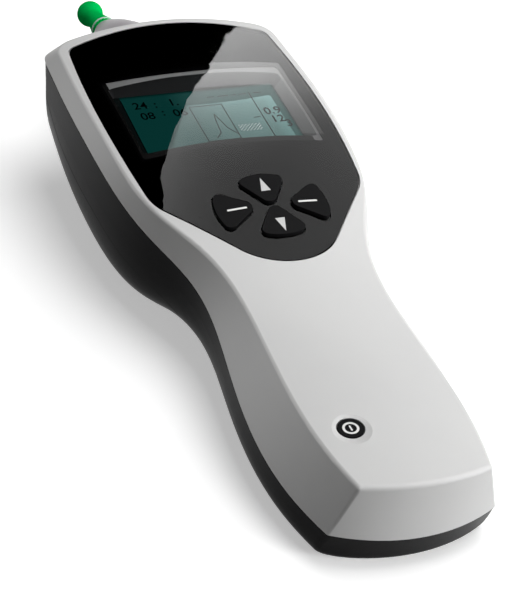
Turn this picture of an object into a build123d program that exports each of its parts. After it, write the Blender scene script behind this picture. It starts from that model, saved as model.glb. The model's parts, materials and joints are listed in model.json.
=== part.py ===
from build123d import *
import os
from functools import cache
from math import atan2, cos, degrees, radians, sin, sqrt, tan

os.makedirs("parts", exist_ok=True)

# Case shape, at stations along its length. Along runs from the tail corners (0) to the probe end.
# Heights are measured square to the display, from the seam at the tail. Widths are half widths.
# The back is flat over a share of its width, and the pull says how full it is from there to the sides.
station_first = -10.0
station_step = 18.0
seam_half = [20.4, 26.2, 29.4, 29.3, 27.2, 25.8, 29.7, 35.5, 37.7, 38.0, 37.2, 35.9, 34.5]
face_half = [16.3, 20.0, 21.5, 21.0, 20.1, 21.1, 27.1, 33.2, 34.4, 34.5, 33.9, 33.0, 31.9]
seam_height = [-0.4, 0.3, 1.4, 3.2, 5.0, 6.4, 8.2, 10.8, 12.8, 13.2, 12.7, 11.8, 10.9]
face_height = [17.0, 16.7, 16.2, 15.6, 15.5, 16.6, 18.6, 20.4, 21.3, 21.2, 20.5, 19.6, 18.6]
back_height = [-9.9, -11.0, -10.8, -10.2, -10.0, -11.2, -14.4, -20.0, -20.4, -18.1, -13.3, -7.8, -1.5]
back_pull = [0.83, 0.83, 0.83, 0.83, 0.82, 0.79, 0.74, 0.74, 0.74, 0.74, 0.74, 0.74, 0.74]
back_flat = [0.52, 0.52, 0.52, 0.52, 0.52, 0.50, 0.47, 0.47, 0.47, 0.47, 0.47, 0.47, 0.47]
crown_radius = 147.0
wall = 2.4
seam_gap = 0.15

# Ends of the case, which lean by an angle
tail_end = -6.0
tail_radius = 51.0
tail_lean = 6.0
tail_lean_back = 18.0
head_end = 191.0
head_radius = 110.0
head_lean = 32.0
head_lean_back = 28.0
head_corner = 8.0
tail_corner = 1.2
tail_round = 3.0
edge_round = 1.2

# The case lies on its back on two flats, at the tail and at the belly. Between two stations the curved
# back bulges a little below the straight line that joins them.
tail_foot = 2.0
belly_foot = 121.0
tail_bulge = 0.15
belly_bulge = 0.5
foot_flat = 0.35

# Fascia, with its window and its mask
fascia_top = (0.0, 183.8)
fascia_corner = (30.4, 179.6)
fascia_side = (32.7, 148.0)
fascia_shoulder = (30.8, 109.4)
fascia_point = (0.0, 69.9)
fascia_corner_round = 2.5
fascia_shoulder_round = 14.0
fascia_point_round = 18.0
fascia_gap = 0.4
lens_thick = 1.0
mask_thick = 0.15
seat_gap = 0.05
fascia_seat = lens_thick + mask_thick + 2 * seat_gap
window_half = 26.7
window_low = 127.3
window_high = 161.5
window_round = 1.0
mask_corner = (26.9, 162.2)
mask_top = (0.0, 161.0)
bezel_wall = 1.5
bezel_fit = 0.3
bezel_half = 24.4
bezel_low = 130.0
bezel_high = 159.0
bezel_flare_across = 2.8
bezel_flare_along = 0.6
bezel_flare_height = 6.0

# Keys
pad_centre = 101.2
key_half = 7.1
key_start = -1.0
key_shoulder = 9.5
key_end = 11.2
side_key_shift = 5.0
key_post = 6.6
key_post_radius = 1.8
key_inner_round = 2.4
key_outer_round = 1.8
key_gap = 0.25
key_rise = 0.9
key_travel = 0.6
key_flange = 0.8
key_flange_thick = 1.0
flange_gap = 0.1
power_place = (-11.7, 19.3)
power_radius = 3.4
power_gap = 0.25
power_sink = 0.3
power_dish = 5.6
power_dish_depth = 0.7
power_travel = 0.4
power_flange = 5.0
power_flange_low = 12.1
power_flange_thick = 0.8

# Display and boards
glass_top = 14.2
glass_thick = 2.8
backlight_gap = 0.1
board_top = 10.2
board_thick = 1.6
board_low = 85.0
board_high = 171.0
board_outline = [(18.5, board_low), (24.0, 98.0), (31.5, 118.0), (31.5, 160.0), (24.0, board_high)]
board_screw_places = [(-27.5, 119.5), (27.5, 119.5), (-20.0, 168.0), (20.0, 168.0)]
board_boss_radius = 2.2
board_screw_shank = 0.9
board_screw_head = 1.9
board_screw_head_thick = 1.3
board_thread = 4.0
board_hole_gap = 0.2
power_board_top = 9.9
power_board_thick = 1.2
power_board_middle = 21.0
power_board_length = 22.0
power_board_width = 30.0
power_pin_places = [(11.5, 14.0), (11.5, 28.0), (-12.5, 29.5)]
power_pin_radius = 0.9
mat_middle = 103.6
mat_length = 29.0
mat_width = 35.0
mat_low = 10.3
mat_thick = 1.2
dome_radius = 3.0
dome_rise = 0.55
dome_thick = 0.2
dome_hole = 0.3

# Screws that join the two case halves
case_screw_places = [(-20.0, 7.0), (20.0, 7.0), (-28.0, 174.5), (28.0, 174.5)]
boss_radius = 3.2
screw_shank = 1.2
screw_head = 2.2
screw_head_thick = 1.8
screw_gap = 0.2
thread_gap = 0.05
tail_split = 0.0
tail_head = -4.0
tail_thread = 10.0
head_split = 7.5
head_head = -2.0
head_thread = 5.5

# Battery cells, their tray and cover
cell_radius = 7.25
cell_length = 50.5
cell_nub = 1.3
cell_nub_radius = 2.75
cell_spread = 7.45
cell_height = 0.1
cells_start = 8.0
cell_gap = 0.1
tray_side_gap = 0.4
tray_top_gap = 0.35
tray_wall = 1.0
tray_roof = 0.8
tray_back_gap = 0.1
tray_low = 4.0
tray_high = 110.2
contact_thick = 0.3
contact_width = 9.0
cover_thick = 2.3
cover_gap = 0.2
bay_low = 10.0
bay_high = 108.0
bay_half = 16.4
rib_place = 14.3
rib_thick = 1.0
rib_top = -5.5
rib_low = 15.0
rib_high = 99.0

# Pump, which runs along the case under the display
pump_x = -11.0
pump_height = -0.5
motor_start = 113.0
motor_length = 16.0
motor_radius = 7.5
shaft_radius = 1.0
running_fit = 0.08
collar_radius = 2.4
collar_start = 130.9
collar_length = 1.7
screw_radius = 1.5
screw_end = 145.5
screw_lead = 2.0
rod_start = 133.0
rod_length = 14.0
rod_radius = 4.0
rod_flat = 3.2
piston_radius = 5.8
piston_thick = 3.0
piston_stroke = 8.0
piston_seal_radius = 0.5
bore_radius = 6.0
cylinder_start = 144.0
cylinder_length = 20.0
cylinder_wall = 1.0
cylinder_end_wall = 1.5
nipple_radius = 1.1
nipple_length = 2.6
nipple_bore = 0.5
frame_drop = 7.6
frame_thick = 1.2
frame_half = 8.0
frame_start = 128.0
frame_end = 161.0
frame_wall = 1.5
guide_place = 141.5
guide_thick = 2.0
pump_screw_places = [(-22.0, 136.0), (0.0, 150.0)]
post_radius = 2.5
frame_top = pump_height - frame_drop
frame_low = frame_top - frame_thick

# Pressure sensor and tubes
sensor_place = (14.0, 155.0)
sensor_size = (9.0, 10.0, 4.4)
sensor_barb_height = 6.2
tube_inner = nipple_radius + 0.05
tube_outer = 1.9
tube_bend = 3.4

# Probe, measured along its own axis from the head end of the case
probe_base = (0.0, 188.46, -2.2)
probe_tilt = 12.9
snout_radius = 12.8
snout_start = -13.5
spigot_radius = 10.9
spigot_length = 6.0
body_radius = 9.0
body_start = -9.5
body_end = 11.0
body_tip = 28.6
body_tip_radius = 2.4
body_flange = 10.3
body_flange_thick = 2.0
bore_of_snout = body_radius + 0.08
speaker_radius = 3.0
speaker_length = 6.0
speaker_drop = 4.8
mic_radius = 2.0
mic_length = 4.0
mic_rise = 5.6
pocket_gap = 0.1
barb_side = 5.0
seal_place = 3.2
seal_half = 0.65
seal_radius = 0.5
seal_inner = 9.85
nose_radius = 12.2
nose_mid = 8.1
nose_mid_place = 23.5
nose_tip = 3.9
nose_end = 33.2
nose_wall = 1.2
nose_gap = 0.15
nose_fit = 0.1
ring_start = 35.4
ring_radius = 3.75
ring_thick = 0.6
ring_round = 0.2
tip_tube_radius = 1.4
tip_tube_start = 24.0
tip_tube_end = 45.5
tip_bore = 0.8
ball_place = 47.2
ball_radius = 3.95
tip_gap = 0.3
tip_fit = 0.05
collar_of_tip = 3.55
flute_radius = 0.2
flute_count = 20
core_of_tip = 2.0
skirt_radius = 3.8
neck_place = 39.8
neck_radius = 2.95
neck_blend = 1.27
neck_angle = 51.7

station_along = [station_first + station_step * i for i in range(len(seam_half))]


def at_station(values, along):
    """Value of a station list at a distance along the case."""
    for a, low, high in zip(station_along, values, values[1:]):
        if along <= a + station_step:
            return low + (high - low) * (along - a) / station_step
    return values[-1]


def sag(radius, half):
    """Height of an arc over a chord of twice half."""
    return radius - sqrt(radius**2 - half**2)


# The case's own plane: its X is across, its Y runs to the probe, and its Z is square to the display.
tail_foot_height = at_station(back_height, tail_foot) - tail_bulge
belly_foot_height = at_station(back_height, belly_foot) - belly_bulge
rest_tilt = degrees(atan2(tail_foot_height - belly_foot_height, belly_foot - tail_foot))
tilt_sin = sin(radians(rest_tilt))
tilt_cos = cos(radians(rest_tilt))
tip_along = probe_base[1] + ball_place * cos(radians(probe_tilt))
tip_height = probe_base[2] - ball_place * sin(radians(probe_tilt))
reach_tip = tip_along * tilt_cos - tip_height * tilt_sin + ball_radius
reach_tail = tail_end * tilt_cos
case_lift = -tail_foot_height * tilt_cos - tail_foot * tilt_sin - foot_flat
case = Plane(
    origin=(0, -(reach_tip + reach_tail) / 2, case_lift), x_dir=(1, 0, 0), z_dir=(0, -tilt_sin, tilt_cos)
)
probe = Plane(
    origin=case.from_local_coords(Vector(*probe_base)),
    x_dir=(1, 0, 0),
    z_dir=case.y_dir * cos(radians(probe_tilt)) - case.z_dir * sin(radians(probe_tilt)),
)
along_axis = Axis(case.origin, case.y_dir)
height_axis = Axis(case.origin, case.z_dir)


def across(along, x=0.0, height=0.0):
    """Plane square to the case's length, at a distance along it, facing the tail."""
    return Plane(
        origin=case.from_local_coords(Vector(x, along, height)), x_dir=(1, 0, 0), z_dir=-case.y_dir
    )


def save(piece, name):
    """Label a finished piece and write it."""
    piece.part.label = name
    export_step(piece.part, f"parts/{name}.step")


# Outlines that every shell is cut from
block_reach = 45.0
block_depth = 60.0


def surface_block(heights, radius, drop):
    """Everything below a surface that follows a station list, crowned where a radius is given."""
    with BuildPart() as block:
        for along, height in zip(station_along, heights):
            top = height - drop
            side = top - (sag(radius, block_reach) if radius else 0)
            with BuildSketch(across(along)):
                with BuildLine():
                    if radius:
                        ThreePointArc((block_reach, side), (0, top), (-block_reach, side))
                    else:
                        Line((block_reach, side), (-block_reach, side))
                    Line((-block_reach, side), (-block_reach, -block_depth))
                    Line((-block_reach, -block_depth), (block_reach, -block_depth))
                    Line((block_reach, -block_depth), (block_reach, side))
                make_face()
        loft()
    return block.part


@cache
def face_block(drop):
    """Everything below the crowned face, lowered by drop."""
    return surface_block(face_height, crown_radius, drop)


@cache
def seam_block(drop):
    """Everything below the seam, lowered by drop."""
    return surface_block(seam_height, 0, drop)


def face_layer(top_drop, bottom_drop):
    """Layer that follows the face between two depths below it."""
    with BuildPart() as layer:
        add(face_block(top_drop))
        add(face_block(bottom_drop), mode=Mode.SUBTRACT)
    return layer.part


@cache
def front_sides(inset):
    """Long slanted sides of the front case, from below the seam to above the face."""
    margin = 6.0
    with BuildPart() as block:
        stations = zip(station_along, seam_half, face_half, seam_height, face_height)
        for along, seam, face, low, high in stations:
            edge = high - sag(crown_radius, face)
            slope = (seam - face) / (edge - low)
            bottom = seam - inset + slope * margin
            top = face - inset - slope * (high + margin - edge)
            with BuildSketch(across(along)):
                with BuildLine():
                    Polyline(
                        (bottom, low - margin),
                        (top, high + margin),
                        (-top, high + margin),
                        (-bottom, low - margin),
                        close=True,
                    )
                make_face()
        loft()
    return block.part


@cache
def back_sides(inset):
    """Sides and rounded back of the rear case."""
    margin = 6.0
    stations = zip(station_along, seam_half, seam_height, back_height, back_pull, back_flat)
    with BuildPart() as block:
        for along, half, seam, back, pull, flat_share in stations:
            side = half - inset
            bottom = back + inset
            start = seam - 0.3 * (seam - back)
            flat = flat_share * side
            low_pull = start + pull * (bottom - start)
            in_pull = flat + pull * (side - flat)
            with BuildSketch(across(along)):
                with BuildLine():
                    Polyline((-side, start), (-side, seam + margin), (side, seam + margin), (side, start))
                    Bezier((side, start), (side, low_pull), (in_pull, bottom), (flat, bottom))
                    Line((flat, bottom), (-flat, bottom))
                    Bezier((-flat, bottom), (-in_pull, bottom), (-side, low_pull), (-side, start))
                make_face()
        loft()
    return block.part


def ends_block(low, high, tail_angle, head_angle, inset):
    """Block between the bowed ends of the case, which lean inwards with height."""
    head_level = at_station(seam_height, head_end)
    with BuildPart() as block:
        for level in (low, high):
            tail = tail_end + inset + level * tan(radians(tail_angle))
            head = head_end - inset - (level - head_level) * tan(radians(head_angle))
            tail_side = tail + sag(tail_radius, block_reach)
            head_side = head - sag(head_radius, block_reach)
            with BuildSketch(case.offset(level)):
                with BuildLine():
                    ThreePointArc((-block_reach, tail_side), (0, tail), (block_reach, tail_side))
                    Line((block_reach, tail_side), (block_reach, head_side))
                    ThreePointArc((block_reach, head_side), (0, head), (-block_reach, head_side))
                    Line((-block_reach, head_side), (-block_reach, tail_side))
                make_face()
        loft(ruled=True)
    return block.part


def outermost(edges, count):
    """The edges that lie farthest from the middle plane."""
    return edges.sort_by(lambda edge: abs(edge.center().X))[-count:]


@cache
def front_block(inset, below_seam):
    """Outer form of the front case, or with an inset its hollow."""
    with BuildPart() as block:
        add(front_sides(inset))
        add(ends_block(-20, 40, tail_lean, head_lean, inset), mode=Mode.INTERSECT)
        fillet(outermost(block.faces().sort_by(along_axis)[-1].edges(), 2), head_corner - min(inset, wall))
        fillet(outermost(block.faces().sort_by(along_axis)[0].edges(), 2), tail_corner)
        add(face_block(inset), mode=Mode.INTERSECT)
        if inset == 0:
            fillet(block.faces().sort_by(height_axis)[-1].edges(), edge_round)
        add(seam_block(below_seam), mode=Mode.SUBTRACT)
    return block.part


@cache
def back_block(inset, above_seam):
    """Outer form of the rear case, or with an inset its hollow."""
    with BuildPart() as block:
        add(back_sides(inset))
        add(ends_block(-40, 30, -tail_lean_back, -head_lean_back, inset), mode=Mode.INTERSECT)
        head_edges = block.faces().sort_by(along_axis)[-1].edges()
        fillet(head_edges.sort_by(height_axis)[:-1], head_corner - min(inset, wall))
        tail_edges = block.faces().sort_by(along_axis)[0].edges()
        fillet(tail_edges.sort_by(height_axis)[:-1], tail_round - min(inset, wall))
        add(seam_block(-above_seam), mode=Mode.INTERSECT)
    return block.part


def slab(x, along, width, length, low, high, mode=Mode.ADD):
    """Straight block between two heights, centred at a place of the case."""
    with BuildSketch(case.offset(low)) as plan:
        with Locations((x, along)):
            Rectangle(width, length)
    extrude(plan.sketch, amount=high - low, mode=mode)


def pin(x, along, radius, low, high, mode=Mode.ADD):
    """Round pin between two heights."""
    with BuildSketch(case.offset(low)) as plan:
        with Locations((x, along)):
            Circle(radius)
    extrude(plan.sketch, amount=high - low, mode=mode)


def rod(x, height, radius, start, end, mode=Mode.ADD):
    """Round bar along the case."""
    with BuildSketch(across(end, x, height)) as section:
        Circle(radius)
    extrude(section.sketch, amount=end - start, mode=mode)


def plug(x, y, radius, start, end, mode=Mode.ADD):
    """Round bar along the probe's axis."""
    with BuildSketch(probe.offset(start)) as section:
        with Locations((x, y)):
            Circle(radius)
    extrude(section.sketch, amount=end - start, mode=mode)


def tube(points, bend, outer, inner=0.0):
    """Tube or wire along straight runs joined by arcs, through points in the case's own plane."""
    with BuildLine() as path:
        FilletPolyline(*[case.from_local_coords(Vector(*point)) for point in points], radius=bend)
    with BuildSketch(Plane(origin=path.line @ 0, z_dir=path.line % 0)) as section:
        Circle(outer)
        if inner:
            Circle(inner, mode=Mode.SUBTRACT)
    sweep(section.sketch, path=path.line)


def outline(plane, corners, middles, rounds, grow):
    """Closed outline, counterclockwise, with an arc where a side has a middle, grown and then rounded."""
    ends = corners[1:] + corners[:1]
    sides = []
    for start, middle, end in zip(corners, middles, ends):
        sides.append(ThreePointArc(start, middle, end) if middle else Line(start, end))
    outward = [[Vector((side % t).Y, -(side % t).X) for t in (0, 0.5, 1)] for side in sides]
    grown = []
    for i, corner in enumerate(corners):
        before = outward[i - 1][2]
        after = outward[i][0]
        grown.append(Vector(*corner) + (before + after) * (grow / (1 + before.dot(after))))
    with BuildSketch(plane) as face:
        with BuildLine():
            for i, middle in enumerate(middles):
                end = grown[(i + 1) % len(grown)]
                if middle:
                    ThreePointArc(grown[i], Vector(*middle) + outward[i][1] * grow, end)
                else:
                    Line(grown[i], end)
        make_face()
        for corner, radius in zip(grown, rounds):
            fillet(face.vertices().sort_by_distance(corner)[0], radius + grow)
    return face.sketch


def fascia_outline(grow):
    """Outline of the fascia, grown by an amount."""
    left_corner = (-fascia_corner[0], fascia_corner[1])
    left_side = (-fascia_side[0], fascia_side[1])
    left_shoulder = (-fascia_shoulder[0], fascia_shoulder[1])
    corners = [fascia_point, fascia_shoulder, fascia_corner, left_corner, left_shoulder]
    middles = [None, fascia_side, fascia_top, left_side, None]
    shoulder = fascia_shoulder_round
    corner = fascia_corner_round
    return outline(case, corners, middles, [fascia_point_round, shoulder, corner, corner, shoulder], grow)


def window_outline(grow, level=0.0):
    """Outline of the display window, grown by an amount."""
    with BuildSketch(case.offset(level)) as outline:
        with Locations((0, (window_low + window_high) / 2)):
            RectangleRounded(2 * (window_half + grow), window_high - window_low + 2 * grow, window_round)
    return outline.sketch


def mask_window_outline():
    """Outline of the clear window in the mask, whose top edge sags towards its middle."""
    left_corner = (-mask_corner[0], mask_corner[1])
    corners = [(-mask_corner[0], window_low), (mask_corner[0], window_low), mask_corner, left_corner]
    return outline(case, corners, [None, None, mask_top, None], [window_round] * 4, 0)


def bezel_opening():
    """Opening of the bezel, from the glass up: it flares out to the face."""
    half = bezel_half + bezel_flare_across
    length = bezel_high - bezel_low
    with BuildPart() as opening:
        with BuildSketch(case.offset(glass_top)) as low_end:
            with Locations((0, (bezel_low + bezel_high) / 2)):
                RectangleRounded(2 * bezel_half, length, window_round)
        with BuildSketch(case.offset(glass_top + bezel_flare_height)) as high_end:
            with Locations((0, (bezel_low + bezel_high) / 2)):
                RectangleRounded(2 * half, length + 2 * bezel_flare_along, window_round)
        loft()
    return opening.part


key_turns = {"up": 0, "left": 90, "down": 180, "right": 270}
key_shifts = {"up": 0, "left": side_key_shift, "down": 0, "right": side_key_shift}


def key_plane(key, level=0.0):
    """Plane of a key at a height: its Y points out from the middle of the pad."""
    turn = key_turns[key]
    x = -key_shifts[key] * sin(radians(turn))
    y = pad_centre + key_shifts[key] * cos(radians(turn))
    return Plane(case.offset(level).location * Location((x, y, 0), (0, 0, turn)))


def key_middle(key):
    """Middle of a key in the case's own plane."""
    middle = case.to_local_coords(key_plane(key).from_local_coords(Vector(0, key_post, 0)))
    return middle.X, middle.Y


def key_outline(key, grow):
    """Outline of a key, grown by an amount."""
    corners = [(0, key_start), (key_half, key_shoulder), (-key_half, key_shoulder)]
    rounds = [key_inner_round, key_outer_round, key_outer_round]
    return outline(key_plane(key), corners, [None, (0, key_end), None], rounds, grow)


def fascia_recess():
    """Shallow seat for the fascia in the face."""
    with BuildPart() as recess:
        add(face_layer(-3.0, fascia_seat))
        extrude(fascia_outline(fascia_gap / 2), amount=40, mode=Mode.INTERSECT)
    return recess.part


def boss_set(places, radius, low):
    """Bosses that hang from the inside of the front case down to a height."""
    with BuildPart() as bosses:
        for x, along in places:
            pin(x, along, radius, low, 25)
        add(front_block(wall - 0.4, 30), mode=Mode.INTERSECT)
    return bosses.part


# Front case: the upper shell, with seats for the fascia, display and keys
with BuildPart() as front_case:
    add(front_block(0, -seam_gap / 2))
    add(front_block(wall, 1.0), mode=Mode.SUBTRACT)
    add(boss_set(case_screw_places[:2], boss_radius, tail_split))
    add(boss_set(case_screw_places[2:], boss_radius, head_split))
    add(boss_set(board_screw_places, board_boss_radius, board_top + seat_gap))
    for x, along in power_pin_places:
        pin(x, along, power_pin_radius + 1.0, power_board_top + seat_gap, power_board_top + 4)
        pin(x, along, power_pin_radius, power_board_top - power_board_thick, power_board_top + 4)
    add(fascia_recess(), mode=Mode.SUBTRACT)
    extrude(window_outline(bezel_wall + bezel_fit), amount=40, mode=Mode.SUBTRACT)
    for key in key_turns:
        extrude(key_outline(key, key_gap), amount=40, mode=Mode.SUBTRACT)
    power_face = at_station(face_height, power_place[1]) - sag(crown_radius, abs(power_place[0]))
    dish_radius = (power_dish**2 + power_dish_depth**2) / (2 * power_dish_depth)
    dish_reach = dish_radius - power_dish_depth
    dish_turn = atan2(power_place[0], crown_radius)
    dish_x = power_place[0] + dish_reach * sin(dish_turn)
    with Locations(case.from_local_coords(Vector(dish_x, power_place[1], power_face + dish_reach))):
        Sphere(dish_radius, mode=Mode.SUBTRACT)
    pin(*power_place, power_radius + power_gap, 5, 30, mode=Mode.SUBTRACT)
    for x, along in case_screw_places[:2]:
        pin(x, along, screw_shank + thread_gap, tail_split - 1, tail_split + tail_thread, mode=Mode.SUBTRACT)
    for x, along in case_screw_places[2:]:
        pin(x, along, screw_shank + thread_gap, head_split - 1, head_split + head_thread, mode=Mode.SUBTRACT)
    board_thread_end = board_top + board_thread
    for x, along in board_screw_places:
        pin(x, along, board_screw_shank + thread_gap, board_top - 1, board_thread_end, mode=Mode.SUBTRACT)
save(front_case, "front_case")

# Rear case: the lower shell, with the battery opening, the snout for the probe and two flats to rest on
with BuildPart() as snout:
    plug(0, 0, snout_radius, snout_start, 0)
    add(seam_block(seam_gap / 2), mode=Mode.INTERSECT)
    plug(0, 0, spigot_radius, -1, spigot_length)
    plug(0, 0, bore_of_snout, snout_start - 1, spigot_length + 1, mode=Mode.SUBTRACT)
    groove = probe.offset(seal_place - seal_half)
    with BuildSketch(groove) as seal_groove:
        Circle(spigot_radius + 1)
        Circle(seal_inner, mode=Mode.SUBTRACT)
    extrude(seal_groove.sketch, amount=2 * seal_half, mode=Mode.SUBTRACT)

with BuildPart() as rear_posts:
    for x, along in case_screw_places[:2]:
        pin(x, along, boss_radius, -25, tail_split - seat_gap)
    for x, along in case_screw_places[2:]:
        pin(x, along, boss_radius, -25, head_split - seat_gap)
    for x, along in pump_screw_places:
        pin(x, along, post_radius, -25, frame_low - seat_gap)
    add(back_block(wall - 0.4, 30), mode=Mode.INTERSECT)

with BuildPart() as rear_case:
    add(back_block(0, -seam_gap / 2))
    add(back_block(wall, 1.0), mode=Mode.SUBTRACT)
    add(rear_posts.part)
    plug(0, 0, snout_radius - 1, snout_start - 4, 4, mode=Mode.SUBTRACT)
    add(snout.part)
    slab(0, (bay_low + bay_high) / 2, 2 * bay_half, bay_high - bay_low, -30, -2, mode=Mode.SUBTRACT)
    for x, along in case_screw_places:
        split_height = tail_split if along < 90 else head_split
        head_height = tail_head if along < 90 else head_head
        pin(x, along, screw_shank + screw_gap, -30, split_height + 1, mode=Mode.SUBTRACT)
        pin(x, along, screw_head + screw_gap, -30, head_height, mode=Mode.SUBTRACT)
    for x, along in pump_screw_places:
        pin(x, along, board_screw_shank + thread_gap, frame_low - 5, frame_low + 1, mode=Mode.SUBTRACT)
    split(bisect_by=Plane.XY, keep=Keep.TOP)
save(rear_case, "rear_case")

# Battery cover: lifts straight off the back
with BuildPart() as cover_ribs:
    for side in (-1, 1):
        slab(side * rib_place, (rib_low + rib_high) / 2, rib_thick, rib_high - rib_low, -30, rib_top)
    add(back_block(cover_thick - 0.3, 2), mode=Mode.INTERSECT)

with BuildPart() as battery_cover:
    add(back_block(0, 1))
    add(back_block(cover_thick, 2), mode=Mode.SUBTRACT)
    cover_length = bay_high - bay_low - 2 * cover_gap
    slab(0, (bay_low + bay_high) / 2, 2 * (bay_half - cover_gap), cover_length, -30, -2, mode=Mode.INTERSECT)
    add(cover_ribs.part)
save(battery_cover, "battery_cover")

# Fascia: a clear lens over a printed film, with holes for the keys
with BuildPart() as fascia_lens:
    add(face_layer(0, lens_thick))
    extrude(fascia_outline(-fascia_gap / 2), amount=40, mode=Mode.INTERSECT)
    for key in key_turns:
        extrude(key_outline(key, key_gap), amount=40, mode=Mode.SUBTRACT)
save(fascia_lens, "fascia_lens")

with BuildPart() as fascia_mask:
    add(face_layer(lens_thick + seat_gap / 2, lens_thick + seat_gap / 2 + mask_thick))
    extrude(fascia_outline(-fascia_gap / 2 - seat_gap), amount=40, mode=Mode.INTERSECT)
    extrude(mask_window_outline(), amount=40, mode=Mode.SUBTRACT)
    for key in key_turns:
        extrude(key_outline(key, key_gap), amount=40, mode=Mode.SUBTRACT)
save(fascia_mask, "fascia_mask")

# Display: bezel, glass and backlight, stacked on the board
with BuildPart() as display_bezel:
    extrude(window_outline(bezel_wall, glass_top + seat_gap), amount=15)
    add(face_block(fascia_seat + seat_gap), mode=Mode.INTERSECT)
    add(bezel_opening(), mode=Mode.SUBTRACT)
save(display_bezel, "display_bezel")

with BuildPart() as lcd_glass:
    extrude(window_outline(bezel_wall, glass_top - glass_thick), amount=glass_thick)
save(lcd_glass, "lcd_glass")

with BuildPart() as lcd_backlight:
    backlight_low = board_top + backlight_gap
    backlight_top = glass_top - glass_thick - seat_gap
    extrude(window_outline(bezel_wall, backlight_low), amount=backlight_top - backlight_low)
save(lcd_backlight, "lcd_backlight")

# Keys: each stands proud of the fascia and is kept in by a flange under the face
flange_top = wall + flange_gap
flange_bottom = flange_top + key_flange_thick
for key in key_turns:
    with BuildPart() as key_cap:
        extrude(key_outline(key, key_flange), amount=40)
        add(face_layer(flange_top, flange_bottom), mode=Mode.INTERSECT)
    with BuildPart() as key_piece:
        extrude(key_outline(key, 0), amount=40)
        add(face_layer(-key_rise, flange_bottom), mode=Mode.INTERSECT)
        add(key_cap.part)
    save(key_piece, f"key_{key}")

# Rubber mat under the keys, with a post below each one
with BuildPart() as mat_posts:
    for key in key_turns:
        pin(*key_middle(key), key_post_radius, mat_low + mat_thick / 2, 25)
    add(face_block(flange_bottom + key_travel + 2 * flange_gap), mode=Mode.INTERSECT)

with BuildPart() as key_mat:
    slab(0, mat_middle, mat_width, mat_length, mat_low, mat_low + mat_thick)
    add(mat_posts.part)
    dome_room = board_top + dome_rise + 0.15
    for key in key_turns:
        pin(*key_middle(key), dome_radius + 0.3, mat_low - 1, dome_room, mode=Mode.SUBTRACT)
save(key_mat, "key_mat")

# Spring domes that the posts press
with BuildPart() as key_domes:
    for key in key_turns:
        x, along = key_middle(key)
        dome_base = case.from_local_coords(Vector(x, along, board_top + seat_gap))
        with BuildSketch(Plane(origin=dome_base, x_dir=case.x_dir, z_dir=-case.y_dir)) as dome_section:
            with BuildLine():
                inner_rise = dome_rise - dome_thick
                inner_radius = dome_radius - dome_thick
                dome_half = 0.5 * dome_radius
                ThreePointArc((dome_hole, dome_rise), (dome_half, 0.76 * dome_rise), (dome_radius, 0))
                Line((dome_radius, 0), (inner_radius, 0))
                ThreePointArc((inner_radius, 0), (dome_half, 0.72 * inner_rise), (dome_hole, inner_rise))
                Line((dome_hole, inner_rise), (dome_hole, dome_rise))
            make_face()
        revolve(axis=Axis(dome_base, case.z_dir))
save(key_domes, "key_domes")

# Power key and the switch under it
with BuildPart() as power_key:
    pin(*power_place, power_radius, power_flange_low, 25)
    add(face_block(power_sink), mode=Mode.INTERSECT)
    pin(*power_place, power_flange, power_flange_low, power_flange_low + power_flange_thick)
save(power_key, "power_key")

with BuildPart() as power_switch:
    slab(*power_place, 6, 6, power_board_top + seat_gap, power_board_top + 1.2)
    pin(*power_place, 1.6, power_board_top + 1.2, power_flange_low - power_travel - flange_gap)
save(power_switch, "power_switch")

# Boards
with BuildPart() as main_board:
    with BuildSketch(case.offset(board_top - board_thick)) as board_plan:
        with BuildLine():
            mirrored = [(-x, along) for x, along in reversed(board_outline)]
            Polyline(*board_outline, *mirrored, close=True)
        make_face()
        with Locations(*board_screw_places):
            Circle(board_screw_shank + board_hole_gap, mode=Mode.SUBTRACT)
    extrude(board_plan.sketch, amount=board_thick)
save(main_board, "main_board")

with BuildPart() as power_board:
    low = power_board_top - power_board_thick
    slab(0, power_board_middle, power_board_width, power_board_length, low, power_board_top)
    for x, along in power_pin_places:
        pin(x, along, power_pin_radius + 0.1, low - 1, power_board_top + 1, mode=Mode.SUBTRACT)
save(power_board, "power_board")

board_bottom = board_top - board_thick
chips = [
    (9.0, 137.0, 12.0, 12.0, 1.4),
    (22.0, 138.0, 6.0, 8.0, 1.1),
    (8.0, 121.0, 7.0, 7.0, 1.0),
    (22.0, 126.5, 5.0, 3.2, 1.2),
    (25.5, 150.0, 5.0, 6.0, 1.1),
    (-23.0, 130.0, 5.0, 4.0, 1.3),
]
with BuildPart() as board_chips:
    for x, along, width, length, thick in chips:
        slab(x, along, width, length, board_bottom - seat_gap - thick, board_bottom - seat_gap)
save(board_chips, "board_chips")

# Flat cable between the two boards, with a socket on each
cable_socket = 3.0
cable_tail = power_board_middle + power_board_length / 2 - 0.5
cable_head = board_low + 0.5
socket_width = 11.0
socket_rise = 1.4
cable_x = 2.0
cable_width = 9.0
cable_low = 10.5
cable_thick = 0.3
with BuildPart() as board_sockets:
    tail_middle = cable_tail - cable_socket / 2
    head_middle = cable_head + cable_socket / 2
    tail_low = power_board_top + seat_gap
    slab(cable_x, tail_middle, socket_width, cable_socket, tail_low, power_board_top + socket_rise)
    slab(cable_x, head_middle, socket_width, cable_socket, board_top + seat_gap, board_top + socket_rise)
save(board_sockets, "board_sockets")

with BuildPart() as board_cable:
    cable_middle = (cable_tail + cable_head) / 2
    cable_length = cable_head - cable_tail - 2 * seat_gap
    slab(cable_x, cable_middle, cable_width, cable_length, cable_low, cable_low + cable_thick)
save(board_cable, "board_cable")

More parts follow.
